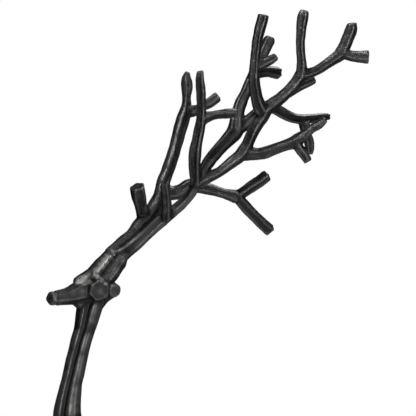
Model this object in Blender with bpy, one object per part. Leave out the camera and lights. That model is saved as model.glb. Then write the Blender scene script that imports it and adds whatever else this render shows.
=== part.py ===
"""A standing deer cast in one piece, with antlers like cut branches, on a low base plate."""

import math

import bpy
import numpy as np

# Sizes in metres; the deer faces -X, +Z is up and the middle of the plate's underside is at zero
HEIGHT = 0.72
PLATE_THICKNESS = 0.008
PLATE_END_MARGIN = 0.044
PLATE_SIDE_MARGIN = 0.029
PLATE_CORNER = 0.012
PLATE_EDGE = 0.0012
FOOT_GAP = 0.0003

# The casting's surface: cell of the skin, faces kept, passes of smoothing
CELL = 0.0016
FACES_KEPT = 9300
SMOOTHING = 0.5
SMOOTH_PASSES = 2

# Every station below is a share of the height, in 720ths, and so are these: the step between
# rings, an end's bevel, and what smoothing takes off a limb's thickness and length
SHARE = HEIGHT / 720
STEP = 2
END_BEVEL = 1.1
FULLER = 0.55
LONGER = 0.6
SIDES = 32

# A limb's section where it doesn't say otherwise. Angles are degrees round the limb from the side
# that its facing points to: a facet's corner stands at the crest and turns with the length, and
# the grooves (angle, depth, width) drift with it; rings are (along, depth, width)
SECTION = {
    "facets": 5,
    "sharp": 0.8,
    "crest": 20,
    "turn_rate": 0.08,
    "drift": 0,
    "cut": 0,
    "grooves": [],
    "rings": [],
}

# The head, neck and antlers are set out in a plane turned this far from the deer's side:
# right of its corner, down from its corner, half thickness, then depth from the mid-plane spread
# evenly along the limb, then its section
TURN = math.radians(38)
CORNER_RIGHT = 135
CORNER_UP = 730
FACING = (-math.sin(TURN), -math.cos(TURN), 0)

HEAD = {
    "muzzle": (
        [(51.8, 297.5, 6.1), (60, 296.7, 6.8), (70, 295, 8.2), (80, 292.3, 10.6), (92, 288, 13.5)],
        (0, 0), {"facets": 5, "crest": -30, "sharp": 0.9, "turn_rate": 0,
         "rings": [(6.5, 0.1, 1.6)]},
    ),
    "throat": (
        [(87, 296, 8.5), (80.5, 300.2, 6.5), (77.7, 303.5, 5.3)],
        (0, 0), {"sharp": 0.2},
    ),
    "skull_and_near_beam": (
        [(86, 297, 11.5), (91.6, 287, 14.2), (100.4, 276.7, 13.8), (108.7, 267, 13.5),
         (115.1, 259.3, 12.6), (120.4, 253.9, 10.9), (127.2, 250.3, 7.3), (135.8, 244.6, 5.7),
         (146.4, 235.4, 5), (156.5, 226.4, 4.8), (165.4, 218.2, 5.4), (173.3, 211.1, 5.2),
         (181.8, 203.9, 5), (190.2, 194.3, 4.7), (197, 183, 5)],
        (0, 0, -4, -16, -33), {"facets": 8, "crest": -14, "sharp": 0.9, "turn_rate": 0,
         "drift": -0.33, "grooves": [(20, 0.3, 19)]},
    ),
    "brow": (
        [(75.8, 280.1, 3), (80.2, 280.4, 5.3), (88, 277.6, 6.8), (97, 270.5, 6)],
        (3, 0), {"sharp": 0.2},
    ),
    "near_ear": (
        [(96, 286.5, 10), (99, 288.5, 10.3), (100.8, 289.6, 9.8)],
        (-4, -19), {"facing": (0, 0, 1), "facets": 6, "crest": 8, "sharp": 1.0, "turn_rate": 0},
    ),
    "far_ear": (
        [(92, 284.5, 8.5), (84, 283.9, 8), (78.8, 283.6, 6)],
        (4, 17), {"facets": 5, "sharp": 0.4, "cut": -12},
    ),
    "nape_knob": (
        [(108.5, 286.4, 7), (113, 288.7, 6.9), (116.2, 290, 6.4)],
        (-2, -15), {"facets": 6, "sharp": 0.2},
    ),
    "nape_web": (
        [(112.5, 291, 6.2), (105.5, 297, 4.9), (98.9, 304.8, 5.2)],
        (-2, 0), {"sharp": 0.2},
    ),
    "ear_ridge": (
        [(93, 273.5, 3.8), (98.5, 276, 3.3), (103.5, 279, 2.6), (108.3, 283.3, 2)],
        (-12, -16), {"sharp": 0.2},
    ),
    "neck": (
        [(93.4, 296, 12.6), (89.8, 310, 12.2), (87.7, 320, 11.1), (85.2, 330, 10.1),
         (82.3, 340, 10.1), (80, 350, 9.9), (77.6, 360, 10.3), (75.6, 370, 10.4),
         (73.3, 380, 10.3), (71.6, 390, 11.3), (70, 400, 12.4), (69, 410, 13.6),
         (69.3, 416, 14.4), (70.6, 426, 18), (73.8, 438, 22)],
        (0, 0), {"facets": 6, "crest": -30, "sharp": 0.2, "turn_rate": 0, "drift": 0.13,
         "grooves": [(4, 0.3, 14), (118, 0.14, 14), (-116, 0.14, 14), (182, 0.2, 14)]},
    ),
}

NEAR_ANTLER = {
    "near_brow_tine": (
        [(167, 219.5, 5), (167, 208, 4.6), (166.3, 195, 4.1), (164.9, 183.7, 3.8)],
        (-16, -27), {"cut": 22, "grooves": [(-10, 0.2, 17)]},
    ),
    "first_tine": (
        [(196, 185, 5), (195, 170, 5.7), (195.1, 160, 6.1), (195.9, 150, 6.1), (197.6, 140, 5.6),
         (199.6, 130, 5.5), (201.1, 120, 5), (201.6, 110, 4.7), (201.3, 100, 4.7),
         (200.9, 90, 4.9), (200, 80, 4.2), (200.2, 72.5, 3.2)],
        (-33, -46), {"facets": 4, "sharp": 0.75, "cut": 12},
    ),
    "first_spur": (
        [(201, 121, 5.5), (206.5, 117.8, 5.1), (213, 115.9, 4), (222, 114.6, 4.2),
         (229, 114, 4.5), (236, 113.4, 3.8)],
        (-41, -47), {"crest": -20},
    ),
    "upper_beam": (
        [(196, 184.4, 5), (205, 179.2, 5), (212, 175.7, 4.7), (220.2, 171.5, 4.5),
         (230, 164, 5.2), (240.4, 155.6, 5.8), (245.9, 147.7, 5.5), (249.1, 140.7, 5),
         (253, 131.9, 5.2), (257.5, 124, 5.6), (262.5, 116.6, 6.1), (265.4, 110, 6.3),
         (273, 104.2, 5.9), (280.9, 98.2, 5.1), (288.6, 90.9, 5.1), (295.4, 83.4, 5.3),
         (301, 75.5, 5.8)],
        (-33, -62), {"facets": 4, "crest": 10, "sharp": 0.7},
    ),
    "second_tine": (
        [(261.2, 111, 7.2), (258.1, 104, 6.5), (255.9, 96, 5.8), (254.6, 88, 5.5),
         (253.7, 80, 5.3), (254.1, 72, 5.2), (254.6, 64, 4.9), (255.2, 56, 4.8), (256.3, 48, 4.7),
         (257.3, 40, 4.7), (259.5, 30, 5), (262, 21, 5.2), (263.1, 15.9, 5.2)],
        (-51, -60), {},
    ),
    "second_spur": (
        [(255, 68, 4.6), (263, 64, 4.7), (270, 60.5, 4.2), (275.8, 57, 3.2)],
        (-55, -62), {},
    ),
    "third_tine": (
        [(301, 76, 5), (301.5, 66, 4.8), (301.1, 58, 4.2), (300.4, 48, 4), (300.2, 42, 4.2),
         (300.8, 35, 4.6), (301.6, 26, 4.9), (303, 17, 5.3), (304.5, 11.5, 4.5)],
        (-62, -58), {},
    ),
    "last_tine": (
        [(300, 76, 5), (309, 73.2, 4.8), (317, 70.2, 4.5), (325, 65, 4.7), (333, 59.4, 5),
         (340, 54, 5.9), (344.6, 46.2, 6), (348, 38, 5.7), (351.1, 30, 5.9), (352, 23, 4.6)],
        (-62, -74), {"cut": 14},
    ),
    "end_stub": (
        [(341, 52.7, 3.9), (349, 54.9, 5), (357, 56.2, 5.5), (368.4, 56.7, 6.7)],
        (-70, -86), {},
    ),
    "side_branch": (
        [(243, 154.8, 6), (250, 153.8, 6.2), (258, 154.1, 5.4), (266, 152.5, 5.5),
         (275, 149.2, 5.2), (284, 145.7, 5.1), (291.6, 143.2, 5.5), (297.8, 139.8, 6.1),
         (305, 134.4, 4.7), (311.8, 128.6, 4.1), (318.8, 124.7, 4.2), (325, 119.7, 3)],
        (-43, -74), {"crest": -22},
    ),
    "side_fork": (
        [(295, 142, 4.8), (300.2, 150.2, 4.8), (304.4, 155.8, 4.7), (307.8, 161.4, 4.2)],
        (-62, -68), {"crest": -22},
    ),
    "back_branch": (
        [(267, 105.5, 6), (277.3, 110.3, 5.5), (285, 114.6, 5.4), (293, 117.9, 4.8),
         (302, 119.2, 4.9), (312, 118.2, 4.2), (321, 116.7, 3.8), (328.8, 116, 3.2)],
        (-51, -27), {"crest": -40},
    ),
    "back_fork": (
        [(304.6, 120.5, 5.6), (305.6, 130, 4.4), (309, 140, 4.6), (310.2, 148, 4),
         (309.8, 153.5, 3)],
        (-38, -34), {},
    ),
}

REAR_BEAM = {
    "rear_beam": (
        [(198, 182, 5), (204.9, 168, 5.5), (211.3, 158.2, 6.1), (218.2, 149.6, 6.1),
         (226.4, 140.8, 6.7), (234.4, 131.5, 7.9), (236.5, 121, 6.9), (238, 112, 6),
         (241, 102, 5.8), (245.9, 92, 5.2), (250.2, 82, 5.3), (254.5, 72, 5.2), (260, 60, 5),
         (265, 49, 5.2), (270, 38, 5.6)],
        (-33, 5), {"crest": 30},
    ),
    "rear_stub": (
        [(252, 75.5, 4.4), (260, 72.4, 4.8), (268, 71, 5.1), (278.2, 71.9, 5.8)],
        (-8, 0), {"crest": -40},
    ),
    "rear_branch": (
        [(233.6, 132.4, 6), (243.5, 125.4, 5.8), (248, 121.6, 5.9), (252, 118, 5.8),
         (262, 109.4, 5), (275, 100.8, 4.5), (288, 92.8, 4.7), (300, 85.8, 4.2),
         (314.2, 79.1, 3.9)],
        (-19, -30), {},
    ),
}

FAR_ANTLER = {
    "far_beam": (
        [(110, 253.6, 5.6), (117.3, 247.5, 5.8), (124.2, 241.7, 6.1), (132.7, 235.1, 6.5),
         (139.9, 226.4, 7.8), (147.9, 218.7, 8.1), (154.8, 208.9, 8.2), (159.1, 198.9, 7.2),
         (161.6, 190, 6.3), (163.6, 181, 6.3), (167.7, 170, 6), (170.9, 161, 5.9),
         (175.8, 145, 5.8), (179.6, 130, 6.3), (182.4, 120, 6.5), (185.2, 111, 5.8),
         (186.3, 104, 4.4), (186.4, 96, 4.1), (186.9, 88, 5.2), (186.6, 82, 5.2),
         (186.4, 77, 4.2), (187, 72, 2.2)],
        (-6, 9, 20, 30, 40, 50), {"facets": 4, "crest": -36, "sharp": 0.2},
    ),
    "far_brow_stub": (
        [(144, 222.5, 6.2), (142.5, 213, 5.6), (141.1, 205, 6.1), (139.3, 197, 6.9),
         (137.9, 186.9, 7.1)],
        (15, 1), {"crest": -26, "cut": 6},
    ),
    "far_spur": (
        [(186, 112, 5.2), (194, 110.2, 5.2), (201, 106.8, 4.2), (209, 102.4, 4.9),
         (217.6, 95.9, 5)],
        (40, 28), {},
    ),
    "far_low_branch": (
        [(160, 188, 6.4), (166, 191.6, 6.8), (173, 193, 6.6), (181, 190.9, 6.5), (190, 186, 6.6),
         (199, 187.2, 5.6), (207, 188.4, 5.6), (215, 190.5, 4.9), (225, 193.6, 4.7),
         (236, 196.6, 6.2)],
        (22, 2), {},
    ),
    "far_fork_up": (
        [(236, 197, 5), (246.7, 189.6, 5.2), (255, 183.8, 5.6), (260.6, 180.3, 5.7),
         (266.9, 175.2, 5.6)],
        (2, -5), {"crest": 5},
    ),
    "far_fork_down": (
        [(236, 196, 5), (244.6, 205.9, 5.5), (252.4, 214.1, 5.3), (261.2, 222.8, 5.6),
         (269.6, 230.3, 5.8)],
        (2, 9), {"crest": -34},
    ),
}

# Body, tail and legs: along the deer, out from its middle, up from the ground, half width,
# half height
TRUNK = {
    "barrel": [(-112, 0, 285, 8, 10), (-106, 0, 280, 15, 18), (-94, 0, 275, 20.5, 26),
               (-76, 0, 272, 23.5, 29), (-50, 0, 271, 24.5, 28), (-20, 0, 272, 24, 26),
               (15, 0, 275, 22.5, 23), (55, 0, 278, 20, 20), (90, 0, 278, 21, 21.5),
               (118, 0, 275, 21.5, 24), (136, 0, 272, 16.5, 20), (145, 0, 271, 9, 12)],
    "tail": [(134, 0, 279, 8, 8), (146, 0, 276, 6.5, 6), (155, 0, 268, 6, 5.4),
             (160, 0, 257, 5.4, 5)],
}
TRUNK_SECTION = {
    "facets": 6, "sharp": 0.35, "crest": 0, "turn_rate": 0.12,
    "grooves": [(22, 0.12, 9), (-30, 0.1, 9), (158, 0.12, 9), (-150, 0.1, 9), (-88, 0.1, 9),
                (88, 0.08, 9)],
}
LEGS = {
    "fore": [(-82, 13, 276, 11, 19), (-80, 19, 248, 10.5, 15), (-74, 24, 222, 8.6, 10.6),
             (-76, 27, 190, 7.4, 8), (-80, 29.5, 160, 6.8, 7), (-83, 31, 144, 7.9, 8.4),
             (-82, 32, 128, 6.6, 6.4), (-80, 33, 100, 5.6, 5.6), (-79, 34, 68, 5.4, 5.6),
             (-80, 34.5, 46, 6.8, 7.2), (-85, 35, 31, 5.8, 6.2), (-90, 35, 20, 7.4, 9),
             (-91, 35, 6, 8.4, 10.4)],
    "hind": [(118, 12, 278, 12, 22), (112, 19, 254, 12, 20), (106, 24, 230, 10.4, 15.5),
             (112, 27.5, 204, 8.6, 10.6), (124, 30, 180, 7.4, 8), (136, 31.5, 160, 7.6, 8.6),
             (139, 32.5, 148, 7.4, 8.4), (136, 33.5, 128, 6.2, 6.2), (132, 34, 100, 5.7, 5.8),
             (129, 34.5, 68, 5.6, 5.8), (127, 35, 46, 6.9, 7.4), (121, 35.5, 31, 5.9, 6.3),
             (116, 35.5, 20, 7.5, 9), (115, 35.5, 6, 8.5, 10.4)],
}
LEG_SECTION = {
    "sharp": 0.5, "crest": 10, "turn_rate": 0.2, "grooves": [(30, 0.12, 14), (-45, 0.1, 14)],
}

# The soles' level in the stations, and where the hooves' middles stand
SOLE_LEVEL = 8.3
FORE_HOOF = LEGS["fore"][-1]
HIND_HOOF = LEGS["hind"][-1]
STANCE_MIDDLE = (FORE_HOOF[0] + HIND_HOOF[0]) / 2
GROUND = PLATE_THICKNESS + FOOT_GAP
PLATE_LENGTH = (HIND_HOOF[0] - FORE_HOOF[0]) * SHARE + 2 * PLATE_END_MARGIN
PLATE_WIDTH = 2 * HIND_HOOF[1] * SHARE + 2 * PLATE_SIDE_MARGIN


def place(right, down, depth):
    """A station of the turned plane as along, out and up."""
    across = right - CORNER_RIGHT
    along = (across + math.sin(TURN) * depth) / math.cos(TURN)
    return along, depth, CORNER_UP - down


def turned_stations(stations, depths):
    """Stations with their depth shared out along the limb's length."""
    flat = np.array([(right, down) for right, down, _ in stations], float)
    steps = np.hypot(*np.diff(flat, axis=0).T)
    shares = np.concatenate([[0], np.cumsum(steps)]) / steps.sum()
    found = np.interp(shares, np.linspace(0, 1, len(depths)), depths)
    return [(*place(right, down, depth), half, half)
            for (right, down, half), depth in zip(stations, found)]


def smooth_rows(rows):
    """A smooth line through the stations, stepped evenly enough for rings."""
    rows = np.array(rows, float)
    padded = np.vstack([2 * rows[0] - rows[1], rows, 2 * rows[-1] - rows[-2]])
    found = []
    for before, start, end, after in zip(padded, padded[1:], padded[2:], padded[3:]):
        count = max(2, round(np.linalg.norm(end[:3] - start[:3]) / STEP))
        for t in np.arange(count) / count:
            bend = 2 * before - 5 * start + 4 * end - after
            twist = 3 * start - before - 3 * end + after
            found.append(start + 0.5 * (t * (end - before) + t * t * bend + t**3 * twist))
    found.append(rows[-1])
    return np.array(found)


def bell(angle, centre, width):
    """1 at a place round the limb, falling away over a width in degrees."""
    apart = (angle - math.radians(centre) + math.pi) % (2 * math.pi) - math.pi
    return np.exp(-((apart / math.radians(width)) ** 2))


def swell(section, angle, length):
    """How far out the skin stands, for each ring and each side of it."""
    facets, sharp = section["facets"], section["sharp"]
    half_turn = math.pi / facets
    crest = np.radians(section["crest"] + section["turn_rate"] * length)
    local = (angle - crest) % (2 * half_turn) - half_turn
    edge = math.cos(half_turn)
    found = (edge / np.cos(local)) ** sharp / edge ** (0.45 * sharp)
    drifted = angle - np.radians(section["drift"] * length)
    for centre, depth, width in section["grooves"]:
        found = found * (1 - depth * bell(drifted, centre, width))
    for along, depth, width in section["rings"]:
        found = found * (1 - depth * np.exp(-(((length - along) / width) ** 2)))
    return found


def unit(vectors):
    return vectors / np.linalg.norm(vectors, axis=-1, keepdims=True)


def limb(rows, given, facing=FACING):
    """A closed faceted tube through the stations, cut at both ends."""
    section = {**SECTION, **given}
    rows = smooth_rows(rows)
    rows[:, 3:] += FULLER
    rows[-1, :3] += LONGER * unit(rows[-1, :3] - rows[-2, :3])
    points = rows[:, :3]
    tangents = unit(np.gradient(points, axis=0))
    facing = np.array(section.get("facing", facing), float)
    toward = unit(facing - tangents * (tangents @ facing)[:, None])
    aside = np.cross(tangents, toward)
    length = np.concatenate([[0], np.cumsum(np.linalg.norm(np.diff(points, axis=0), axis=1))])
    angle = np.arange(SIDES) * 2 * math.pi / SIDES
    swelling = swell(section, angle[None, :], length[:, None])
    out = swelling * np.cos(angle) * rows[:, 3, None]
    over = swelling * np.sin(angle) * rows[:, 4, None]
    offset = out[..., None] * toward[:, None] + over[..., None] * aside[:, None]
    near_end = np.clip(1 - (length[-1] - length) / (2.5 * rows[-1, 3]), 0, 1)
    slope = near_end * math.tan(math.radians(section["cut"]))
    offset += (slope[:, None] * over)[..., None] * tangents[:, None]
    small = 1 - END_BEVEL / max(rows[0, 3], rows[-1, 3])
    rings = points[:, None] + offset
    rings[0] += tangents[0] * END_BEVEL
    rings[-1] -= tangents[-1] * END_BEVEL
    first, last = points[0] + offset[0] * small, points[-1] + offset[-1] * small
    rings = np.concatenate([first[None], rings, last[None]])
    verts = rings.reshape(-1, 3)
    faces = []
    for ring in range(len(rings) - 1):
        for side in range(SIDES):
            a = ring * SIDES + side
            b = ring * SIDES + (side + 1) % SIDES
            faces.append((a, b, b + SIDES, a + SIDES))
    faces.append(tuple(reversed(range(SIDES))))
    faces.append(tuple(range(len(verts) - SIDES, len(verts))))
    sole = np.array([STANCE_MIDDLE, 0, SOLE_LEVEL])
    return (verts - sole) * SHARE + [0, 0, GROUND], faces


def mirrored(rows):
    return [(along, -out, *rest) for along, out, *rest in rows]


def all_limbs():
    """Every limb of the casting, head first."""
    found = []
    for group in (HEAD, NEAR_ANTLER, REAR_BEAM, FAR_ANTLER):
        for stations, depths, section in group.values():
            found.append(limb(turned_stations(stations, depths), section))
    for rows in TRUNK.values():
        found.append(limb(rows, TRUNK_SECTION, (0, -1, 0)))
    for rows in LEGS.values():
        found.append(limb(mirrored(rows), LEG_SECTION, (0, -1, 0)))
        found.append(limb(rows, LEG_SECTION, (0, 1, 0)))
    return found


def gathered(limbs):
    verts, faces, start = [], [], 0
    for points, polygons in limbs:
        verts.append(points)
        faces += [tuple(index + start for index in face) for face in polygons]
        start += len(points)
    return np.vstack(verts), faces


def add_object(name, verts, faces):
    mesh = bpy.data.meshes.new(name)
    mesh.from_pydata([tuple(map(float, v)) for v in verts], [], faces)
    mesh.update()
    obj = bpy.data.objects.new(name, mesh)
    bpy.context.scene.collection.objects.link(obj)
    return obj


def apply_modifiers(obj):
    """The object's mesh with its modifiers worked in."""
    shaped = obj.evaluated_get(bpy.context.evaluated_depsgraph_get())
    obj.modifiers.update()
    mesh = bpy.data.meshes.new_from_object(shaped)
    obj.modifiers.clear()
    obj.data = mesh
    return mesh


def coloured(obj, colour, metallic, roughness):
    material = bpy.data.materials.new(obj.name)
    material.use_nodes = True
    shader = material.node_tree.nodes["Principled BSDF"]
    shader.inputs["Base Color"].default_value = (*colour, 1)
    shader.inputs["Metallic"].default_value = metallic
    shader.inputs["Roughness"].default_value = roughness
    material.diffuse_color = (*colour, 1)
    obj.data.materials.clear()
    obj.data.materials.append(material)


def build_deer():
    deer = add_object("deer", *gathered(all_limbs()))
    skin = deer.modifiers.new("skin", "REMESH")
    skin.mode = "VOXEL"
    skin.voxel_size = CELL
    skin.adaptivity = 0
    eased = deer.modifiers.new("eased", "SMOOTH")
    eased.factor = SMOOTHING
    eased.iterations = round(SMOOTH_PASSES)
    mesh = apply_modifiers(deer)
    for vertex in mesh.vertices:
        vertex.co.z = max(vertex.co.z, GROUND)
    triangles = sum(len(polygon.vertices) - 2 for polygon in mesh.polygons)
    thinned = deer.modifiers.new("thinned", "DECIMATE")
    thinned.ratio = min(1, FACES_KEPT / triangles)
    thinned.use_collapse_triangulate = True
    apply_modifiers(deer)
    for polygon in deer.data.polygons:
        polygon.use_smooth = True
    coloured(deer, (0.021, 0.021, 0.023), 0.6, 0.42)
    return deer


def build_plate():
    """The low plate: a rounded rectangle with its upper edge eased."""
    half_length, half_width = PLATE_LENGTH / 2, PLATE_WIDTH / 2
    outline = []
    for corner in range(4):
        sign_x = 1 if corner in (0, 3) else -1
        sign_y = 1 if corner in (0, 1) else -1
        for step in range(9):
            angle = (corner + step / 8) * math.pi / 2
            x = sign_x * (half_length - PLATE_CORNER) + PLATE_CORNER * math.cos(angle)
            y = sign_y * (half_width - PLATE_CORNER) + PLATE_CORNER * math.sin(angle)
            outline.append((x, y))
    outline = np.array(outline)
    inset = outline * [1 - 2 * PLATE_EDGE / PLATE_LENGTH, 1 - 2 * PLATE_EDGE / PLATE_WIDTH]
    shoulder = PLATE_THICKNESS - PLATE_EDGE
    levels = [(outline, 0), (outline, shoulder), (inset, PLATE_THICKNESS)]
    count = len(outline)
    verts = [(x, y, z) for ring, z in levels for x, y in ring]
    faces = [tuple(reversed(range(count))), tuple(range(2 * count, 3 * count))]
    for level in range(len(levels) - 1):
        for i in range(count):
            a, b = level * count + i, level * count + (i + 1) % count
            faces.append((a, b, b + count, a + count))
    plate = add_object("base_plate", verts, faces)
    coloured(plate, (0.024, 0.024, 0.026), 0.6, 0.5)
    return plate


for old in list(bpy.data.objects):
    bpy.data.objects.remove(old)
build_deer()
build_plate()
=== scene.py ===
import math
import bpy
import numpy as np
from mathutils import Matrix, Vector, kdtree, noise


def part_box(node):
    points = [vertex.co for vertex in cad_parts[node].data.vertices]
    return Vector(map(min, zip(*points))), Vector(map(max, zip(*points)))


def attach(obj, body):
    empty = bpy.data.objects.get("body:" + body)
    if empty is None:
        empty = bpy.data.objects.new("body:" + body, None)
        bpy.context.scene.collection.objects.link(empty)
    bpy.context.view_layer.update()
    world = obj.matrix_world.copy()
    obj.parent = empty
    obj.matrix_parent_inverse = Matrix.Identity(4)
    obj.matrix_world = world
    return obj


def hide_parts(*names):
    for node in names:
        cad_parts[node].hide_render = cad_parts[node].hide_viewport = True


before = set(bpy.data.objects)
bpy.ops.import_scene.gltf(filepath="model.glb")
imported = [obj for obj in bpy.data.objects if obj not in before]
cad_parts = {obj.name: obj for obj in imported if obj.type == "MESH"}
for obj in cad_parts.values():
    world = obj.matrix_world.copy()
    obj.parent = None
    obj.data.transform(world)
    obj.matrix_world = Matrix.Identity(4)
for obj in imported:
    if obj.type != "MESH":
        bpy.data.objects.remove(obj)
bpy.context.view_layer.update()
print("frame loaded")

# Setting out: stations are in shares of the deer's height, read in a plane turned from its side
settingOut = {
    "height": 0.72,
    "shares": 720,
    "turn": math.radians(38),
    "cornerRight": 135,
    "cornerUp": 730,
    "soleLevel": 8.3,
    "stanceMiddle": 12,
    "soleGap": 0.0003,
}
share = settingOut["height"] / settingOut["shares"]
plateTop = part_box("base_plate")[1].z
viewer = np.array([-math.sin(settingOut["turn"]), -math.cos(settingOut["turn"]), 0.0])

# Each limb: (right, down, half thickness) stations, depth from the mid-plane evenly along it,
# then what differs from the skinning table below. Angles are degrees round the limb from the
# side that its facing points to, positive to the right of the way it grows. A web is how far
# the corner where the limb leaves another is filled.
head = {
    "muzzle": {
        "stations": [(51.8, 297.5, 6.1), (60, 296.7, 6.8), (70, 295, 8.2), (80, 292.3, 10.6),
                     (92, 288, 13.5)],
        "depth": (0, 0), "crest": -30, "facets": 5, "sharp": 0.9, "turnRate": 0,
        "rings": [(6.5, 0.1, 1.0)], "grooves": [(-48, 0.1, 9)], "ridges": [],
    },
    "throat": {
        "stations": [(87, 296, 8.5), (80.5, 300.2, 6.5), (77.7, 303.5, 5.3)],
        "depth": (0, 0), "sharp": 0.2,
    },
    "skullAndNearBeam": {
        "stations": [(86, 297, 11.5), (91.6, 287, 14.2), (100.4, 276.7, 13.8),
                     (108.7, 267, 13.5), (115.1, 259.3, 12.6), (120.4, 253.9, 10.9),
                     (127.2, 250.3, 7.3),
                     (135.8, 244.6, 5.7), (146.4, 235.4, 5), (156.5, 226.4, 4.8),
                     (165.4, 218.2, 5.4), (173.3, 211.1, 5.2), (181.8, 203.9, 5),
                     (190.2, 194.3, 4.7), (197, 183, 5)],
        "depth": (0, 0, -4, -16, -33), "crest": -14, "facets": 8, "sharp": 0.9, "turnRate": 0,
        "grooves": [(20, 0.3, 16)], "ridges": [(52, 0.05, 12)], "drift": -0.33,
    },
    "brow": {
        "stations": [(75.8, 280.1, 3), (80.2, 280.4, 5.3), (88, 277.6, 6.8), (97, 270.5, 6)],
        "depth": (3, 0), "sharp": 0.2,
    },
    "nearEar": {
        "stations": [(96, 286.5, 10), (99, 288.5, 10.3), (100.8, 289.6, 9.8)],
        "depth": (-4, -19), "facing": (0, 0, 1), "facets": 6, "sharp": 1.0, "crest": 8,
        "turnRate": 0, "web": 0.3, "grooves": [], "ridges": [],
    },
    "farEar": {
        "stations": [(92, 284.5, 8.5), (84, 283.9, 8), (78.8, 283.6, 6)],
        "depth": (4, 17), "cut": -12, "facets": 5, "sharp": 0.4,
    },
    "napeKnob": {
        "stations": [(108.5, 286.4, 7), (113, 288.7, 6.9), (116.2, 290, 6.4)],
        "depth": (-2, -15), "facets": 6, "sharp": 0.2, "web": 0.4,
        "grooves": [], "ridges": [],
    },
    "napeWeb": {
        "stations": [(112.5, 291, 6.2), (105.5, 297, 4.9), (98.9, 304.8, 5.2)],
        "depth": (-2, 0), "sharp": 0.2,
    },
    "earRidge": {
        "stations": [(93, 273.5, 3.8), (98.5, 276, 3.3), (103.5, 279, 2.6), (108.3, 283.3, 2)],
        "depth": (-12, -16), "sharp": 0.2, "web": 0.5, "grooves": [], "ridges": [],
    },
    "neck": {
        "stations": [(93.4, 296, 12.6), (89.8, 310, 12.2), (87.7, 320, 11.1), (85.2, 330, 10.1),
                     (82.3, 340, 10.1), (80, 350, 9.9), (77.6, 360, 10.3), (75.6, 370, 10.4),
                     (73.3, 380, 10.3), (71.6, 390, 11.3), (70, 400, 12.4), (69, 410, 13.6),
                     (69.3, 416, 14.4), (70.6, 426, 18), (73.8, 438, 22)],
        "depth": (0, 0), "crest": -30, "facets": 6, "sharp": 0.2, "turnRate": 0, "waver": 0.008,
        "grooves": [(4, 0.36, 12), (118, 0.14, 12), (-116, 0.14, 12), (182, 0.2, 12)],
        "ridges": [], "drift": 0.13,
    },
}
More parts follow.
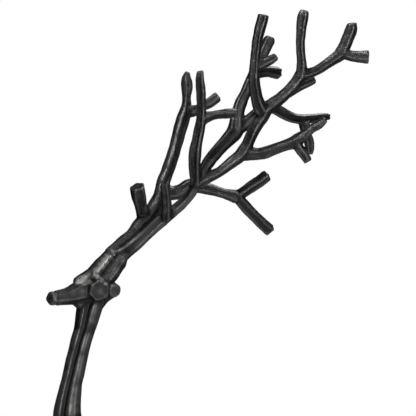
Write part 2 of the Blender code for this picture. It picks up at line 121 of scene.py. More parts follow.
nearAntler = {
    "nearBrowTine": {
        "stations": [(167, 219.5, 5), (167, 208, 4.6), (166.3, 195, 4.1), (164.9, 183.7, 3.8)],
        "depth": (-16, -27), "cut": 22, "grooves": [(-10, 0.2, 15)],
    },
    "firstTine": {
        "stations": [(196, 185, 5), (195, 170, 5.7), (195.1, 160, 6.1), (195.9, 150, 6.1),
                     (197.6, 140, 5.6), (199.6, 130, 5.5), (201.1, 120, 5), (201.6, 110, 4.7),
                     (201.3, 100, 4.7), (200.9, 90, 4.9), (200, 80, 4.2), (200.2, 72.5, 3.2)],
        "depth": (-33, -46), "cut": 12, "facets": 4, "sharp": 0.75,
    },
    "firstSpur": {
        "stations": [(201, 121, 5.5), (206.5, 117.8, 5.1), (213, 115.9, 4), (222, 114.6, 4.2),
                     (229, 114, 4.5), (236, 113.4, 3.8)],
        "depth": (-41, -47), "crest": -20, "grooves": [(36, 0.16, 16)],
        "ridges": [(-20, 0.05, 14)],
    },
    "upperBeam": {
        "stations": [(196, 184.4, 5), (205, 179.2, 5), (212, 175.7, 4.7), (220.2, 171.5, 4.5),
                     (230, 164, 5.2), (240.4, 155.6, 5.8), (245.9, 147.7, 5.5), (249.1, 140.7, 5),
                     (253, 131.9, 5.2), (257.5, 124, 5.6), (262.5, 116.6, 6.1),
                     (265.4, 110, 6.3), (273, 104.2, 5.9), (280.9, 98.2, 5.1),
                     (288.6, 90.9, 5.1), (295.4, 83.4, 5.3), (301, 75.5, 5.8)],
        "depth": (-33, -62), "crest": 10, "facets": 4, "sharp": 0.7,
        "grooves": [(-16, 0.15, 16)], "ridges": [(12, 0.05, 12)],
    },
    "secondTine": {
        "stations": [(261.2, 111, 7.2), (258.1, 104, 6.5), (255.9, 96, 5.8), (254.6, 88, 5.5),
                     (253.7, 80, 5.3), (254.1, 72, 5.2), (254.6, 64, 4.9), (255.2, 56, 4.8),
                     (256.3, 48, 4.7), (257.3, 40, 4.7), (259.5, 30, 5), (262, 21, 5.2),
                     (263.1, 15.9, 5.2)],
        "depth": (-51, -60),
    },
    "secondSpur": {
        "stations": [(255, 68, 4.6), (263, 64, 4.7), (270, 60.5, 4.2), (275.8, 57, 3.2)],
        "depth": (-55, -62),
    },
    "thirdTine": {
        "stations": [(301, 76, 5), (301.5, 66, 4.8), (301.1, 58, 4.2), (300.4, 48, 4),
                     (300.2, 42, 4.2), (300.8, 35, 4.6), (301.6, 26, 4.9), (303, 17, 5.3),
                     (304.5, 11.5, 4.5)],
        "depth": (-62, -58), "grooves": [(-4, 0.16, 18)], "ridges": [(23, 0.06, 12)],
    },
    "lastTine": {
        "stations": [(300, 76, 5), (309, 73.2, 4.8), (317, 70.2, 4.5), (325, 65, 4.7),
                     (333, 59.4, 5), (340, 54, 5.9), (344.6, 46.2, 6), (348, 38, 5.7),
                     (351.1, 30, 5.9), (352, 23, 4.6)],
        "depth": (-62, -74), "cut": 14, "grooves": [(2, 0.08, 13), (40, 0.1, 14)],
    },
    "endStub": {
        "stations": [(341, 52.7, 3.9), (349, 54.9, 5), (357, 56.2, 5.5), (368.4, 56.7, 6.7)],
        "depth": (-70, -86),
    },
    "sideBranch": {
        "stations": [(243, 154.8, 6), (250, 153.8, 6.2), (258, 154.1, 5.4), (266, 152.5, 5.5),
                     (275, 149.2, 5.2), (284, 145.7, 5.1), (291.6, 143.2, 5.5), (297.8, 139.8, 6.1),
                     (305, 134.4, 4.7), (311.8, 128.6, 4.1), (318.8, 124.7, 4.2), (325, 119.7, 3)],
        "depth": (-43, -74), "crest": -22, "grooves": [(40, 0.17, 17)],
        "ridges": [(-22, 0.06, 14)],
    },
    "sideFork": {
        "stations": [(295, 142, 4.8), (300.2, 150.2, 4.8), (304.4, 155.8, 4.7),
                     (307.8, 161.4, 4.2)],
        "depth": (-62, -68), "crest": -22, "grooves": [(22, 0.1, 16)],
    },
    "backBranch": {
        "stations": [(267, 105.5, 6), (277.3, 110.3, 5.5), (285, 114.6, 5.4), (293, 117.9, 4.8),
                     (302, 119.2, 4.9), (312, 118.2, 4.2), (321, 116.7, 3.8), (328.8, 116, 3.2)],
        "depth": (-51, -27), "crest": -40, "grooves": [(10, 0.1, 18)],
        "ridges": [(-40, 0.05, 14)],
    },
    "backFork": {
        "stations": [(304.6, 120.5, 5.6), (305.6, 130, 4.4), (309, 140, 4.6), (310.2, 148, 4),
                     (309.8, 153.5, 3)],
        "depth": (-38, -34),
    },
}
rearBeam = {
    "rearBeam": {
        "stations": [(198, 182, 5), (204.9, 168, 5.5), (211.3, 158.2, 6.1), (218.2, 149.6, 6.1),
                     (226.4, 140.8, 6.7), (234.4, 131.5, 7.9), (236.5, 121, 6.9),
                     (238, 112, 6), (241, 102, 5.8), (245.9, 92, 5.2), (250.2, 82, 5.3),
                     (254.5, 72, 5.2), (260, 60, 5), (265, 49, 5.2), (270, 38, 5.6)],
        "depth": (-33, 5), "crest": 30, "grooves": [(-10, 0.15, 20)],
    },
    "rearStub": {
        "stations": [(252, 75.5, 4.4), (260, 72.4, 4.8), (268, 71, 5.1), (278.2, 71.9, 5.8)],
        "depth": (-8, 0), "crest": -40, "ridges": [(-40, 0.05, 14)],
    },
    "rearBranch": {
        "stations": [(233.6, 132.4, 6), (243.5, 125.4, 5.8), (248, 121.6, 5.9), (252, 118, 5.8),
                     (262, 109.4, 5), (275, 100.8, 4.5), (288, 92.8, 4.7), (300, 85.8, 4.2),
                     (314.2, 79.1, 3.9)],
        "depth": (-19, -30),
    },
}
farAntler = {
    "farBeam": {
        "stations": [(110, 253.6, 5.6), (117.3, 247.5, 5.8), (124.2, 241.7, 6.1),
                     (132.7, 235.1, 6.5), (139.9, 226.4, 7.8), (147.9, 218.7, 8.1),
                     (154.8, 208.9, 8.2), (159.1, 198.9, 7.2),
                     (161.6, 190, 6.3), (163.6, 181, 6.3), (167.7, 170, 6), (170.9, 161, 5.9),
                     (175.8, 145, 5.8), (179.6, 130, 6.3), (182.4, 120, 6.5), (185.2, 111, 5.8),
                     (186.3, 104, 4.4), (186.4, 96, 4.1), (186.9, 88, 5.2), (186.6, 82, 5.2),
                     (186.4, 77, 4.2), (187, 72, 2.2)],
        "depth": (-6, 9, 20, 30, 40, 50), "crest": -36, "facets": 4, "sharp": 0.2, "web": 0,
        "grooves": [(24, 0.15, 18), (-22, 0.04, 16)], "ridges": [],
    },
    "farBrowStub": {
        "stations": [(144, 222.5, 6.2), (142.5, 213, 5.6), (141.1, 205, 6.1), (139.3, 197, 6.9),
                     (137.9, 186.9, 7.1)],
        "depth": (15, 1), "cut": 6, "crest": -26, "grooves": [(4, 0.15, 16)],
        "ridges": [(-26, 0.05, 14)],
    },
    "farSpur": {
        "stations": [(186, 112, 5.2), (194, 110.2, 5.2), (201, 106.8, 4.2), (209, 102.4, 4.9),
                     (217.6, 95.9, 5)],
        "depth": (40, 28),
    },
    "farLowBranch": {
        "stations": [(160, 188, 6.4), (166, 191.6, 6.8), (173, 193, 6.6), (181, 190.9, 6.5),
                     (190, 186, 6.6), (199, 187.2, 5.6), (207, 188.4, 5.6), (215, 190.5, 4.9),
                     (225, 193.6, 4.7), (236, 196.6, 6.2)],
        "depth": (22, 2),
    },
    "farForkUp": {
        "stations": [(236, 197, 5), (246.7, 189.6, 5.2), (255, 183.8, 5.6), (260.6, 180.3, 5.7),
                     (266.9, 175.2, 5.6)],
        "depth": (2, -5), "crest": 5, "grooves": [(-30, 0.09, 14), (34, 0.09, 14)],
    },
    "farForkDown": {
        "stations": [(236, 196, 5), (244.6, 205.9, 5.5), (252.4, 214.1, 5.3), (261.2, 222.8, 5.6),
                     (269.6, 230.3, 5.8)],
        "depth": (2, 9), "crest": -34, "grooves": [(8, 0.12, 18)],
        "ridges": [(-34, 0.06, 14)],
    },
}

# Body, tail and legs: along the deer, out from its middle, up from the ground, half width,
# half height
body = {
    "barrel": {
        "rows": [(-112, 0, 285, 8, 10), (-106, 0, 280, 15, 18), (-94, 0, 275, 20.5, 26),
                 (-76, 0, 272, 23.5, 29), (-50, 0, 271, 24.5, 28), (-20, 0, 272, 24, 26),
                 (15, 0, 275, 22.5, 23), (55, 0, 278, 20, 20), (90, 0, 278, 21, 21.5),
                 (118, 0, 275, 21.5, 24), (136, 0, 272, 16.5, 20), (145, 0, 271, 9, 12)],
        "facing": (0, -1, 0), "facets": 6, "sharp": 0.35, "crest": 0, "turnRate": 0.12,
        "waver": 0.008,
        "grooves": [(22, 0.12, 7), (-30, 0.1, 7), (158, 0.12, 7), (-150, 0.1, 7), (-88, 0.1, 8),
                    (88, 0.08, 8)],
    },
    "tail": {
        "rows": [(134, 0, 279, 8, 8), (146, 0, 276, 6.5, 6), (155, 0, 268, 6, 5.4),
                 (160, 0, 257, 5.4, 5)],
        "facing": (0, -1, 0), "facets": 5, "sharp": 0.5,
    },
}
legs = {
    "foreLeg": {
        "rows": [(-82, 13, 276, 11, 19), (-80, 19, 248, 10.5, 15), (-74, 24, 222, 8.6, 10.6),
                 (-76, 27, 190, 7.4, 8), (-80, 29.5, 160, 6.8, 7), (-83, 31, 144, 7.9, 8.4),
                 (-82, 32, 128, 6.6, 6.4), (-80, 33, 100, 5.6, 5.6), (-79, 34, 68, 5.4, 5.6),
                 (-80, 34.5, 46, 6.8, 7.2), (-85, 35, 31, 5.8, 6.2), (-90, 35, 20, 7.4, 9),
                 (-91, 35, 6, 8.4, 10.4)],
    },
    "hindLeg": {
        "rows": [(118, 12, 278, 12, 22), (112, 19, 254, 12, 20), (106, 24, 230, 10.4, 15.5),
                 (112, 27.5, 204, 8.6, 10.6), (124, 30, 180, 7.4, 8), (136, 31.5, 160, 7.6, 8.6),
                 (139, 32.5, 148, 7.4, 8.4), (136, 33.5, 128, 6.2, 6.2), (132, 34, 100, 5.7, 5.8),
                 (129, 34.5, 68, 5.6, 5.8), (127, 35, 46, 6.9, 7.4), (121, 35.5, 31, 5.9, 6.3),
                 (116, 35.5, 20, 7.5, 9), (115, 35.5, 6, 8.5, 10.4)],
    },
}

legSection = {
    "facets": 5,
    "sharp": 0.5,
    "crest": 10,
    "turnRate": 0.2,
    "grooves": [(30, 0.12, 11), (-45, 0.1, 11)],
}

# How every limb is skinned, unless it says otherwise. A facet's corner stands at the crest and
# turns with the length. Grooves are (angle, depth, width) and ridges (angle, height, width), both
# drift with the length, and rings are (along, depth, width).
skinning = {
    "facets": 5,
    "sharp": 0.9,
    "fullness": 0.45,  # 0 keeps the corners to the stations' width, 1 the flats
    "uneven": 0.22,
    "crest": 20,
    "turnRate": 0.08,
    "cut": 0,  # degrees that the end's cut leans
    "cutReach": 2.5,  # end thicknesses over which the lean fades
    "grooves": [(-6, 0.16, 17)],
    "ridges": [(20, 0.05, 12), (-36, 0.03, 14)],
    "drift": 0,
    "rings": [],
    "ringStep": 1.25,
    "ringSides": 44,
    "endRounding": 0.7,
    "endInner": 0.45,
    "fuller": 0.55,  # what the voxels and smoothing take off the thickness and the length
    "longer": 0.6,
    "waver": 0.045,
    "waverLength": 9,
    "waverPlace": (7.3, 1.7),
    "seedStep": 1.3,
}


def rowsFromStations(limb):
    # depth is shared out along the limb's length
    stations = np.array(limb["stations"], float)
    steps = np.hypot(*np.diff(stations[:, :2], axis=0).T)
    part = np.concatenate([[0], np.cumsum(steps)]) / steps.sum()
    depth = np.interp(part, np.linspace(0, 1, len(limb["depth"])), limb["depth"])
    across = stations[:, 0] - settingOut["cornerRight"]
    turn = settingOut["turn"]
    along = (across + math.sin(turn) * depth) / math.cos(turn)
    up = settingOut["cornerUp"] - stations[:, 1]
    return np.column_stack([along, depth, up, stations[:, 2], stations[:, 2]])


def smoothRows(rows):
    # a smooth line through the stations, in nearly even steps
    rows = np.array(rows, float)
    padded = np.vstack([2 * rows[0] - rows[1], rows, 2 * rows[-1] - rows[-2]])
    found = []
    for before, start, end, after in zip(padded, padded[1:], padded[2:], padded[3:]):
        count = max(2, round(np.linalg.norm(end[:3] - start[:3]) / skinning["ringStep"]))
        for t in np.arange(count) / count:
            bend = 2 * before - 5 * start + 4 * end - after
            sway = 3 * start - before - 3 * end + after
            found.append(start + 0.5 * (t * (end - before) + t * t * bend + t**3 * sway))
    found.append(rows[-1])
    return np.array(found)


def bellAt(angle, centre, width):
    # 1 at a place round the limb, falling away over a width in degrees
    apart = (angle - math.radians(centre) + math.pi) % (2 * math.pi) - math.pi
    return np.exp(-((apart / math.radians(width)) ** 2))


def limbSwell(limb, angle, along, seed):
    # how far out the skin stands round each ring: facets, grooves, ridges and rings
    count = limb["facets"]
    turn = np.radians(limb["crest"] + limb["turnRate"] * along)
    uneven = limb["uneven"] * (np.sin(angle + seed) - np.sin(turn + seed))
    local = (angle + uneven - turn) % (2 * math.pi / count) - math.pi / count
    middle = math.cos(math.pi / count)
    swell = (middle / np.cos(local)) ** limb["sharp"]
    swell = swell / middle ** (limb["fullness"] * limb["sharp"])
    drifted = angle - np.radians(limb["drift"] * along)
    for place, depth, width in limb["grooves"]:
        swell = swell * (1 - depth * bellAt(drifted, place, width))
    for place, height, width in limb["ridges"]:
        swell = swell * (1 + height * bellAt(drifted, place, width))
    for place, depth, width in limb["rings"]:
        swell = swell * (1 - depth * np.exp(-(((along - place) / width) ** 2)))
    return swell


def limbShape(given, seed):
    # rings along a limb, closed by a flat cut at each end, and the line that they follow
    limb = {**skinning, **given}
    rows = smoothRows(limb["rows"] if "rows" in limb else rowsFromStations(limb))
    rows[:, 3:] += limb["fuller"]
    tip = rows[-1, :3] - rows[-2, :3]
    rows[-1, :3] += tip / np.linalg.norm(tip) * limb["longer"]
    points = rows[:, :3]
    tangents = np.gradient(points, axis=0)
    tangents /= np.linalg.norm(tangents, axis=1)[:, None]
    facing = np.array(limb.get("facing", viewer), float)
    toward = facing - tangents * (tangents @ facing)[:, None]
    toward /= np.linalg.norm(toward, axis=1)[:, None]
    aside = np.cross(tangents, toward)
    length = np.concatenate([[0], np.cumsum(np.linalg.norm(np.diff(points, axis=0), axis=1))])
    angle = np.arange(limb["ringSides"]) * 2 * math.pi / limb["ringSides"]
    swell = limbSwell(limb, angle[None, :], length[:, None], seed)
    step, level = limb["waverPlace"]
    wavers = [noise.noise((s / limb["waverLength"], step * seed, level)) for s in length]
    swell = swell * (1 + limb["waver"] * np.array(wavers))[:, None]
    out = swell * np.cos(angle) * rows[:, 3, None]
    over = swell * np.sin(angle) * rows[:, 4, None]
    offset = out[..., None] * toward[:, None] + over[..., None] * aside[:, None]
    slope = math.tan(math.radians(limb["cut"]))
    nearEnd = np.clip(1 - (length[-1] - length) / (limb["cutReach"] * rows[-1, 3]), 0, 1)
    offset += (nearEnd[:, None] * slope * over)[..., None] * tangents[:, None]
    rounding = limb["endRounding"]
    rings = points[:, None] + offset
    small = 1 - rounding / max(rows[0, 3], rows[-1, 3])
    first = points[0] + offset[0] * small
    last = points[-1] + offset[-1] * small
    rings[0] += tangents[0] * rounding
    rings[-1] -= tangents[-1] * rounding
    inner = points[-1] + offset[-1] * limb["endInner"]
    rings = np.concatenate([first[None], rings, last[None], inner[None]])
    line = {"points": points, "toward": toward, "aside": aside, "tangents": tangents,
            "length": length, "radius": rows[:, 3:5].mean(axis=1)}
    return rings, line


def ringFaces(rings, start):
    count, sides = rings.shape[:2]
    ring, side = np.meshgrid(np.arange(count - 1), np.arange(sides), indexing="ij")
    a = start + ring * sides + side
    b = start + ring * sides + (side + 1) % sides
    quads = np.stack([a, b, b + sides, a + sides], axis=-1).reshape(-1, 4).tolist()
    firstCap = [start + i for i in reversed(range(sides))]
    lastCap = [start + (count - 1) * sides + i for i in range(sides)]
    return quads + [firstCap, lastCap]


def mirroredLeg(limb, side):
    rows = [(along, side * out, *rest) for along, out, *rest in limb["rows"]]
    return {**legSection, "rows": rows, "facing": (0, side, 0)}


def everyLimb():
    found = {}
    for group in (head, nearAntler, rearBeam, farAntler, body):
        found.update(group)
    for name, limb in legs.items():
        found[name + "Near"] = mirroredLeg(limb, -1)
        found[name + "Far"] = mirroredLeg(limb, 1)
    return found


def toWorld(points):
    sole = np.array([settingOut["stanceMiddle"], 0, settingOut["soleLevel"]])
    return (points - sole) * share + [0, 0, plateTop + settingOut["soleGap"]]


def meshObject(name, verts, faces):
    mesh = bpy.data.meshes.new(name)
    mesh.from_pydata(verts.tolist(), [], faces)
    mesh.update()
    piece = bpy.data.objects.new(name, mesh)
    bpy.context.scene.collection.objects.link(piece)
    return piece


def bakeModifiers(piece):
    shaped = piece.evaluated_get(bpy.context.evaluated_depsgraph_get())
    mesh = bpy.data.meshes.new_from_object(shaped)
    piece.modifiers.clear()
    old = piece.data
    piece.data = mesh
    bpy.data.meshes.remove(old)


class Skin:
    # the mesh's points and edges as arrays, so that relief is worked on all of it at once
    def __init__(self, piece):
        self.mesh = piece.data
        count = len(self.mesh.vertices)
        self.points = np.empty(count * 3)
        self.mesh.vertices.foreach_get("co", self.points)
        self.points = self.points.reshape(-1, 3)
        self.edges = np.empty(len(self.mesh.edges) * 2, int)
        self.mesh.edges.foreach_get("vertices", self.edges)
        self.edges = self.edges.reshape(-1, 2)
        self.degree = np.bincount(self.edges.ravel(), minlength=count).clip(1)

    def around(self, values):
        # the mean of each point's neighbours
        columns = values.reshape(len(values), -1)
        a, b = self.edges.T
        summed = [np.bincount(a, column[b], len(column)) + np.bincount(b, column[a], len(column))
                  for column in columns.T]
        return (np.array(summed) / self.degree).T.reshape(values.shape)

    def normals(self):
        self.store()
        found = np.empty(len(self.points) * 3)
        self.mesh.vertices.foreach_get("normal", found)
        return found.reshape(-1, 3)

    def store(self):
        self.mesh.vertices.foreach_set("co", self.points.ravel())
        self.mesh.update()

    def smoothed(self, values, passes, strength=0.5):
        for _ in range(passes):
            values = values + strength * (self.around(values) - values)
        return values


# Where the coat is thin or worn through, and where highlight and sheen are painted into it as wear:
# spots as right, down, reach and how far worn and lit, and a painted highlight along the near
# beam's top ridge, by its bends as right, down
wearAndHighlights = {
    # the skull-top spots are partly real wear and partly a painted highlight; the others are
    # painted sheen on faces that catch the light
    "spots": [
        (79, 281, 4, 1), (85, 281, 5, 1), (86, 278, 5, 1), (91, 281, 4, 0.9),
        (92, 275.5, 4.5, 0.9), (98, 275, 4, 1), (97.5, 270, 5, 1), (102, 265, 5, 1),
        (105.5, 260, 5, 1), (109, 255, 5, 1), (113, 251.5, 3.5, 1), (94, 273.5, 3, 1),
        (103, 279, 3.4, 1), (107, 282.6, 2.6, 1), (109, 249, 2.5, 0.8), (66, 293, 6, 0.42),
        (75, 290, 7, 0.5), (84, 290, 7, 0.55), (101, 290, 9, 0.6), (115.5, 290, 5, 0.5),
        (137.5, 184.5, 5, 0.5), (163, 184.5, 3, 0.6), (164, 192, 4, 0.5), (165, 202, 5, 0.5),
        (166, 211, 5, 0.5), (137, 195, 5, 0.4), (280, 108, 5, 0.35), (295, 115, 6, 0.35),
        (312, 116, 6, 0.35), (321, 115, 5, 0.4), (255.5, 60, 7, 0.3), (257, 45, 6, 0.3),
        (262, 153, 6, 0.4), (276, 149, 7, 0.4), (290, 144, 6, 0.4), (120, 262, 5, 0.3),
        (88, 325, 5, 0.3), (78, 322, 5, 0.25),
    ],
    # a painted highlight along the near beam's lit top ridge
    "edge": [(113, 251), (119, 250.5), (126, 246.5), (133, 240.5), (141, 233.5), (150, 225),
             (159, 216.5)],
    "edgeReach": 1.7,
    "edgeStrength": 0.85,
    "smoothing": 1.6,  # how soon the wear and the painted highlight smooth away the relief
}
carving = {
    "cell": 0.00082,
    "firstPasses": 2,
    "mostFaces": 196000,
    "webPasses": 14,
    "webReach": 1.5,
    "webRate": 0.8,
    "webRow": 3,  # the ring whose middle a web is centred on
    # depth in metres, then noise cells in a metre
    "lumps": (0.00022, 110),
    "grain": (0.0003, 420),
    "sand": (0.00016, 700),
    "grainStretch": 6,
    "limbsApart": 3.1,  # how far apart the limbs are in the grain's noise
    "wander": (0.014, 40),  # how far the grain strays along the limb
    "smoothShare": 0.5,  # how much of the relief the smooth limbs keep
    "wearAndHighlightFlattening": 0.9,
    "coarsePasses": 12,
    "proudPasses": 14,
}


def limbCoordinates(points, lines):
    # for each point: its limb, distance along it, and its place round the limb's mean section
    tree = kdtree.KDTree(sum(len(line["points"]) for line in lines))
    owner = []
    for index, line in enumerate(lines):
        for row, place in enumerate(toWorld(line["points"])):
            tree.insert(place, len(owner))
            owner.append((index, row))
    tree.balance()
    nearest = np.array([tree.find(place)[1] for place in points])
    owner = np.array(owner)[nearest]
    centres = np.vstack([toWorld(line["points"]) for line in lines])[nearest]
    toward = np.vstack([line["toward"] for line in lines])[nearest]
    aside = np.vstack([line["aside"] for line in lines])[nearest]
    tangent = np.vstack([line["tangents"] for line in lines])[nearest]
    length = np.concatenate([line["length"] for line in lines])[nearest] * share
    apart = points - centres
    length = length + (apart * tangent).sum(axis=1)
    length += carving["wander"][0] * plainNoise(points, carving["wander"][1])
    across = np.column_stack([(apart * toward).sum(axis=1), (apart * aside).sum(axis=1)])
    girth = np.array([line["radius"].mean() for line in lines])[owner[:, 0]] * share
    across *= (girth / np.linalg.norm(across, axis=1).clip(1e-6))[:, None]
    return owner[:, 0], length, across


def grainNoise(limbIndex, length, across, scale, stretch):
    # noise drawn out along the limb, as in wood or a ground casting
    along = length * scale / stretch + limbIndex * carving["limbsApart"]
    places = np.column_stack([along, across * scale])
    return np.array([noise.noise(place) for place in places])


def plainNoise(points, scale):
    return np.array([noise.noise(place) for place in points * scale])


def junctionWeight(points, limbs, lines):
    # 1 where a limb leaves another, fading over a little more than its thickness
    weight = np.zeros(len(points))
    for limb, line in zip(limbs.values(), lines):
        reach = line["radius"][0] * carving["webReach"] * share
        root = toWorld(line["points"][min(carving["webRow"], len(line["points"]) - 1)])
        apart = ((points - root) ** 2).sum(axis=1)
        bell = limb.get("web", 1) * np.exp(-apart / (2 * reach * reach))
        weight = np.maximum(weight, bell)
    return weight


def wearAndHighlightAt(points):
    # 1 where the coat is worn through and where highlight and sheen are painted in as wear, seen
    # from the side that the stations are read on
    sole = np.array([settingOut["stanceMiddle"], 0, settingOut["soleLevel"]])
    places = (points - [0, 0, plateTop + settingOut["soleGap"]]) / share + sole
    turn = settingOut["turn"]
    across = places[:, 0] * math.cos(turn) - places[:, 1] * math.sin(turn)
    right, down = across + settingOut["cornerRight"], settingOut["cornerUp"] - places[:, 2]
    wearAndHighlight = np.zeros(len(points))
    for spotRight, spotDown, reach, strength in wearAndHighlights["spots"]:
        apart = ((right - spotRight) ** 2 + (down - spotDown) ** 2) / reach**2
        wearAndHighlight = np.maximum(wearAndHighlight, strength * np.exp(-apart))
    seen = np.column_stack([right, down])
    bends = np.array(wearAndHighlights["edge"])
    for start, end in zip(bends, bends[1:]):
        run = end - start
        reached = np.clip((seen - start) @ run / (run @ run), 0, 1)
        apart = ((seen - start - reached[:, None] * run) ** 2).sum(axis=1)
        mark = wearAndHighlights["edgeStrength"] * np.exp(-apart / wearAndHighlights["edgeReach"]**2)
        wearAndHighlight = np.maximum(wearAndHighlight, mark)
    return wearAndHighlight


def smoothedAway(wearAndHighlight):
    return np.clip(wearAndHighlights["smoothing"] * wearAndHighlight, 0, 1)


def coarseness(skin, limbIndex):
    # 1 on the antlers' coarse skin, 0 on the smoother head, neck, body and legs
    coarse = {*nearAntler, *rearBeam, *farAntler}
    flags = np.array([float(name in coarse) for name in everyLimb()])
    return skin.smoothed(flags[limbIndex], carving["coarsePasses"])


def carveDeer():
    limbs = everyLimb()
    verts, faces, lines, start = [], [], [], 0
    for seed, limb in enumerate(limbs.values()):
        rings, line = limbShape(limb, skinning["seedStep"] * seed)
        faces += ringFaces(rings, start)
        start += rings.shape[0] * rings.shape[1]
        verts.append(rings.reshape(-1, 3))
        lines.append(line)
    deer = meshObject("deerCasting", toWorld(np.vstack(verts)), faces)
    cell = deer.modifiers.new("cell", "REMESH")
    cell.mode = "VOXEL"
    cell.voxel_size = carving["cell"]
    bakeModifiers(deer)
    print("limbs joined:", len(deer.data.vertices), "points")

    skin = Skin(deer)
    skin.points = skin.smoothed(skin.points, carving["firstPasses"])
    web = junctionWeight(skin.points, limbs, lines)
    for _ in range(carving["webPasses"]):
        normals = skin.normals()
        hollow = ((skin.around(skin.points) - skin.points) * normals).sum(axis=1).clip(0)
        skin.points = skin.points + normals * (carving["webRate"] * web * hollow)[:, None]
    print("junctions webbed")

    limbIndex, length, across = limbCoordinates(skin.points, lines)
    rough = coarseness(skin, limbIndex)
    relief = carving["lumps"][0] * plainNoise(skin.points, carving["lumps"][1])
    relief += rough * carving["grain"][0] * grainNoise(
        limbIndex, length, across, carving["grain"][1], carving["grainStretch"])
    relief += carving["sand"][0] * plainNoise(skin.points, carving["sand"][1])
    relief *= carving["smoothShare"] + (1 - carving["smoothShare"]) * rough
    relief *= 1 - carving["wearAndHighlightFlattening"] * smoothedAway(wearAndHighlightAt(skin.points))
    skin.points = skin.points + skin.normals() * relief[:, None]
    skin.store()
    print("relief carved")

    thin = deer.modifiers.new("thin", "DECIMATE")
    thin.ratio = min(1, carving["mostFaces"] / (2 * len(deer.data.polygons)))
    bakeModifiers(deer)
    skin = Skin(deer)
    low, high = (np.array(corner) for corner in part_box("deer"))
    skin.points = np.clip(skin.points, low, high)
    normals = skin.normals()
    settled = skin.smoothed(skin.points, carving["proudPasses"])
    millimetres = 1000
    proud = ((skin.points - settled) * normals).sum(axis=1) * millimetres
    limbIndex, length, across = limbCoordinates(skin.points, lines)
    wearAndHighlight = wearAndHighlightAt(skin.points)
    proud *= 1 - smoothedAway(wearAndHighlight)
    addNumber(deer, "proud", skin.smoothed(proud, 1))
    # the mask of wear and of painted highlight and sheen
    addNumber(deer, "wearAndHighlight", wearAndHighlight)
    addNumber(deer, "rough", coarseness(skin, limbIndex))
    drawnFrom = coat["limbShift"] * limbIndex
    addVector(deer, "grain", np.column_stack([length + drawnFrom, across]))
    for polygon in deer.data.polygons:
        polygon.use_smooth = True
    print("skin thinned:", len(deer.data.polygons), "faces")
    return deer


def addNumber(piece, name, values):
    layer = piece.data.attributes.new(name, "FLOAT", "POINT")
    layer.data.foreach_set("value", np.asarray(values, np.float32))


def addVector(piece, name, values):
    layer = piece.data.attributes.new(name, "FLOAT_VECTOR", "POINT")
    layer.data.foreach_set("vector", np.asarray(values, np.float32).ravel())


class Wire:
    # a socket that takes plain sums
    def __init__(self, recipe, socket):
        self.recipe, self.socket = recipe, socket

    def worked(self, operation, first, second):
        return self.recipe.node("ShaderNodeMath", {"operation": operation}, {0: first, 1: second})

    def __add__(self, other):
        return self.worked("ADD", self, other)

    def __radd__(self, other):
        return self.worked("ADD", other, self)

    def __sub__(self, other):
        return self.worked("SUBTRACT", self, other)

    def __rsub__(self, other):
        return self.worked("SUBTRACT", other, self)

    def __mul__(self, other):
        return self.worked("MULTIPLY", self, other)

    def __rmul__(self, other):
        return self.worked("MULTIPLY", other, self)

    def held(self, low, high):
        # 0 at low, 1 at high, eased between
        return self.recipe.node("ShaderNodeMapRange", {"interpolation_type": "SMOOTHSTEP"},
                                {"Value": self, "From Min": low, "From Max": high})


class Recipe:
    # one node tree, of a material or of the surround
    def __init__(self, owner, output="ShaderNodeOutputMaterial"):
        owner.use_nodes = True
        self.owner, self.tree, self.output = owner, owner.node_tree, output
        self.tree.nodes.clear()

    def node(self, kind, settings=None, sockets=None, output=0):
        made = self.tree.nodes.new(kind)
        for key, value in (settings or {}).items():
            setattr(made, key, value)
        for key, value in (sockets or {}).items():
            if isinstance(value, Wire):
                self.tree.links.new(value.socket, made.inputs[key])
            else:
                made.inputs[key].default_value = value
        return Wire(self, made.outputs[output] if made.outputs else None)

    def attribute(self, name, output):
        return self.node("ShaderNodeAttribute", {"attribute_name": name}, {}, output)

    def texture(self, place, scale, detail, roughness):
        return self.node("ShaderNodeTexNoise", {}, {
            "Vector": place, "Scale": scale, "Detail": detail, "Roughness": roughness})

    def mix(self, factor, first, second):
        return self.node("ShaderNodeMix", {"data_type": "RGBA"},
                         {0: factor, 6: first, 7: second}, 2)

    def bump(self, strength, height):
        return self.node("ShaderNodeBump", {}, {
            "Strength": strength, "Distance": 1.0, "Height": height})

    def finish(self, shader):
        self.node(self.output, {"is_active_output": True}, {"Surface": shader})
        return self.owner


# A texture is (scale, detail, roughness), and a pair with At in its name is where a mask
# starts and is full
coat = {
    "thick": (0.0065, 0.0065, 0.0072, 1),
    "thin": (0.013, 0.013, 0.014, 1),
    # rubbed edges, also used for the painted sheen and glints
    "rubbedAndSheen": (0.19, 0.188, 0.184, 1),
    # bare metal, also used for the painted highlight
    "bareAndHighlight": (0.4, 0.398, 0.392, 1),
    "thinAt": (0.35, 0.7),
    "rubAt": (0.1, 0.55),
    "bareAndHighlightAt": (0.42, 0.9),
    "paintedSheenAt": (0.05, 0.5),
    "speckSandAt": (0.56, 0.68),
    "speckStreaksAt": (0.4, 0.6),
    "pitAt": (0.1, 0.32),
    "pitCloudsAt": (0.5, 0.68),
    "rubAndSheenShow": 0.75,
    "bareAndHighlightShow": 0.8,
    "paintedSheenRub": 0.35,
    "glintSpecks": 1.6,
    "roughness": (0.2, 0.42),
    "sandDuller": 0.16,
    "bareAndHighlightDuller": 0.16,
    "smoothDuller": 0.1,
    "metal": 0.6,
    "smoothShare": 0.3,  # how much of the texture the smooth limbs keep
    "limbShift": 0.37,  # metres of streak from one limb to the next
    "streakScale": (34, 400, 400),
    "streaks": (1.0, 4.0, 0.6),
    "clouds": (70, 3.0, 0.55),
    "sand": (640, 3.0, 0.65),
    "pitScale": 420,
    "sandDepth": 0.0009,
    "streakDepth": 0.0013,
    "pitDepth": 0.0012,
    "relief": 0.42,
}


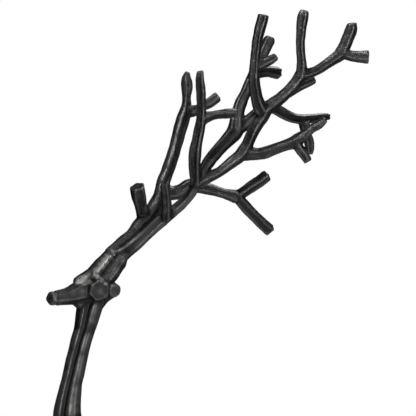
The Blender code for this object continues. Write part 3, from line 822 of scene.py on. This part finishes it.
def castCoat():
    # satin black over a sand-cast skin, thin and rubbed along what stands proud, with painted
    # highlight, sheen and glints laid into the colour as wear
    recipe = Recipe(bpy.data.materials.new("satinBlackCasting"))
    place = recipe.node("ShaderNodeTexCoord", {}, {}, 3)
    grain = recipe.attribute("grain", 1)
    proud, wearAndHighlight, rough = (recipe.attribute(name, 2) for name in ("proud", "wearAndHighlight", "rough"))
    coarse = coat["smoothShare"] + rough * (1 - coat["smoothShare"])
    drawn = recipe.node("ShaderNodeVectorMath", {"operation": "MULTIPLY"},
                        {0: grain, 1: coat["streakScale"]})
    streaks = recipe.texture(drawn, *coat["streaks"])
    clouds = recipe.texture(place, *coat["clouds"])
    sand = recipe.texture(place, *coat["sand"])
    pits = recipe.node("ShaderNodeTexVoronoi", {"feature": "F1"},
                       {"Vector": place, "Scale": coat["pitScale"], "Randomness": 1.0})
    pitted = (1 - pits.held(*coat["pitAt"])) * clouds.held(*coat["pitCloudsAt"])

    rubAndSheen = proud + (streaks - 0.5) * coarse * 0.5 + (clouds - 0.5) * 0.35
    # bare metal where the coat is worn through, and a painted highlight where faces catch the light
    bareAndHighlight = wearAndHighlight + (clouds - 0.5) * 0.3 + (sand - 0.5) * 0.15
    bareAndHighlight = bareAndHighlight.held(*coat["bareAndHighlightAt"])
    # painted sheen on the faces that catch the light
    paintedSheen = wearAndHighlight.held(*coat["paintedSheenAt"])
    # bright specks: painted glints, laid as chips in the coat
    glintSpecks = sand.held(*coat["speckSandAt"]) * streaks.held(*coat["speckStreaksAt"]) * rough
    # rubbed edges, with the painted highlight, sheen and glints added in
    rubAndSheen = rubAndSheen.held(*coat["rubAt"]) + bareAndHighlight + paintedSheen * coat["paintedSheenRub"] + glintSpecks * coat["glintSpecks"]
    rubAndSheen = rubAndSheen.held(0, 1) * (1 - pitted * 0.8)

    colour = recipe.mix(clouds.held(*coat["thinAt"]), coat["thick"], coat["thin"])
    # the rubbed colour shows rubbed edges and the painted sheen and glints; the bare colour shows
    # bare metal and the painted highlight
    colour = recipe.mix(rubAndSheen * coat["rubAndSheenShow"], colour, coat["rubbedAndSheen"])
    colour = recipe.mix(bareAndHighlight * coat["bareAndHighlightShow"], colour, coat["bareAndHighlight"])
    low, high = coat["roughness"]
    dull = (sand - 0.5) * coat["sandDuller"] + low + (high - low) * (1 - rubAndSheen * 0.7)
    dull = dull + bareAndHighlight * coat["bareAndHighlightDuller"] + (1 - rough) * coat["smoothDuller"]
    height = sand * coat["sandDepth"] + streaks * coat["streakDepth"]
    height = height * (1 - paintedSheen) * coarse - pitted * coat["pitDepth"]
    shader = recipe.node("ShaderNodeBsdfPrincipled", {}, {
        "Base Color": colour, "Metallic": rubAndSheen * coat["metal"], "Roughness": dull,
        "Normal": recipe.bump(coat["relief"], height), "Specular IOR Level": 0.5})
    return recipe.finish(shader)


plateCoat = {
    "colour": (0.014, 0.014, 0.015, 1),
    "thin": (0.06, 0.06, 0.06, 1),
    "thinAt": (0.4, 0.75),
    "thinShow": 0.5,
    "roughness": 0.42,
    "metal": 0.1,
    "clouds": (45, 4.0, 0.6),
    "sand": (700, 3.0, 0.6),
    "sandDepth": 0.0004,
    "cloudDepth": 0.0003,
    "relief": 0.4,
}


def plateFinish():
    recipe = Recipe(bpy.data.materials.new("satinBlackPlate"))
    place = recipe.node("ShaderNodeTexCoord", {}, {}, 3)
    sand = recipe.texture(place, *plateCoat["sand"])
    clouds = recipe.texture(place, *plateCoat["clouds"])
    thin = clouds.held(*plateCoat["thinAt"]) * plateCoat["thinShow"]
    dull = plateCoat["roughness"] + (sand - 0.5) * 0.2 + (clouds - 0.5) * 0.15
    height = sand * plateCoat["sandDepth"] + clouds * plateCoat["cloudDepth"]
    shader = recipe.node("ShaderNodeBsdfPrincipled", {}, {
        "Base Color": recipe.mix(thin, plateCoat["colour"], plateCoat["thin"]),
        "Metallic": plateCoat["metal"], "Roughness": dull,
        "Normal": recipe.bump(plateCoat["relief"], height)})
    return recipe.finish(shader)


deer = carveDeer()
deer.data.materials.clear()
deer.data.materials.append(castCoat())
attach(deer, "root")
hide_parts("deer")
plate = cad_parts["base_plate"]
plate.data.materials.clear()
plate.data.materials.append(plateFinish())
print("finishes laid")

# distances in metres, aims in the deer's own shares, turns in degrees
studio = {
    "floorRadius": 1.1,
    "floorSides": 96,
    "floorRoughness": 0.7,
    "floorColour": (0.8, 0.8, 0.8, 1),
    "surround": 0.005,
    "seenWhite": 1.0,
    "distance": 9.0,
    "frameWidth": 0.4143,
    "elevation": 0.0,
    "aimRight": 73,
    "aimUp": 522,
    "aimBack": 20,
    # right, up and toward the camera from the aim, then width, height and watts
    "lights": {
        "topBox": ((-0.12, 1.45, 0.65), 0.35, 0.35, 10),
        "frontBox": ((0.25, 0.35, 1.65), 0.6, 0.35, 8.4),
        "rightBox": ((1.35, 0.15, 0.85), 0.3, 0.7, 4.3),
        "backBox": ((0.5, 1.1, -1.5), 0.7, 0.7, 6.5),
    },
}


def viewAxes():
    turn, lift = -settingOut["turn"], math.radians(studio["elevation"])
    toward = Vector((math.sin(turn) * math.cos(lift), -math.cos(turn) * math.cos(lift),
                     math.sin(lift)))
    right = Vector((math.cos(turn), math.sin(turn), 0))
    return right, toward.cross(right), toward


def aimPoint():
    right, up, toward = viewAxes()
    flatRight = Vector((right.x, right.y, 0)) * studio["aimRight"]
    back = -Vector((toward.x, toward.y, 0)).normalized() * studio["aimBack"]
    place = flatRight + back + Vector((0, 0, studio["aimUp"]))
    return Vector(toWorld(np.array(place)))


def layFloor():
    sides = studio["floorSides"]
    angle = np.arange(sides) * 2 * math.pi / sides
    ring = np.column_stack([np.cos(angle), np.sin(angle), 0 * angle]) * studio["floorRadius"]
    floor = meshObject("floor", ring, [tuple(range(sides))])
    recipe = Recipe(bpy.data.materials.new("paleFloor"))
    shader = recipe.node("ShaderNodeBsdfPrincipled", {}, {
        "Base Color": studio["floorColour"], "Roughness": studio["floorRoughness"]})
    floor.data.materials.append(recipe.finish(shader))


def hangLights():
    right, up, toward = viewAxes()
    aim = aimPoint()
    for name, (offset, width, height, power) in studio["lights"].items():
        light = bpy.data.lights.new(name, "AREA")
        light.shape = "RECTANGLE"
        light.size, light.size_y, light.energy = width, height, power
        lamp = bpy.data.objects.new(name, light)
        lamp.location = aim + right * offset[0] + up * offset[1] + toward * offset[2]
        lamp.rotation_euler = (aim - lamp.location).to_track_quat("-Z", "Y").to_euler()
        bpy.context.scene.collection.objects.link(lamp)


def paintSurround():
    # white behind the deer, while much less of it lights the deer
    recipe = Recipe(bpy.data.worlds.new("studio"), "ShaderNodeOutputWorld")
    seen = recipe.node("ShaderNodeLightPath")
    level = studio["surround"] + seen * (studio["seenWhite"] - studio["surround"])
    back = recipe.node("ShaderNodeBackground", {}, {"Color": (1, 1, 1, 1), "Strength": level})
    bpy.context.scene.world = recipe.finish(back)


def placeCamera():
    right, up, toward = viewAxes()
    data = bpy.data.cameras.new("camera")
    data.lens = data.sensor_width * studio["distance"] / studio["frameWidth"]
    camera = bpy.data.objects.new("camera", data)
    camera.location = aimPoint() + toward * studio["distance"]
    camera.rotation_euler = toward.to_track_quat("Z", "Y").to_euler()
    bpy.context.scene.collection.objects.link(camera)
    bpy.context.scene.camera = camera


layFloor()
hangLights()
paintSurround()
placeCamera()
bpy.context.scene.view_settings.view_transform = "Standard"
print("studio set")
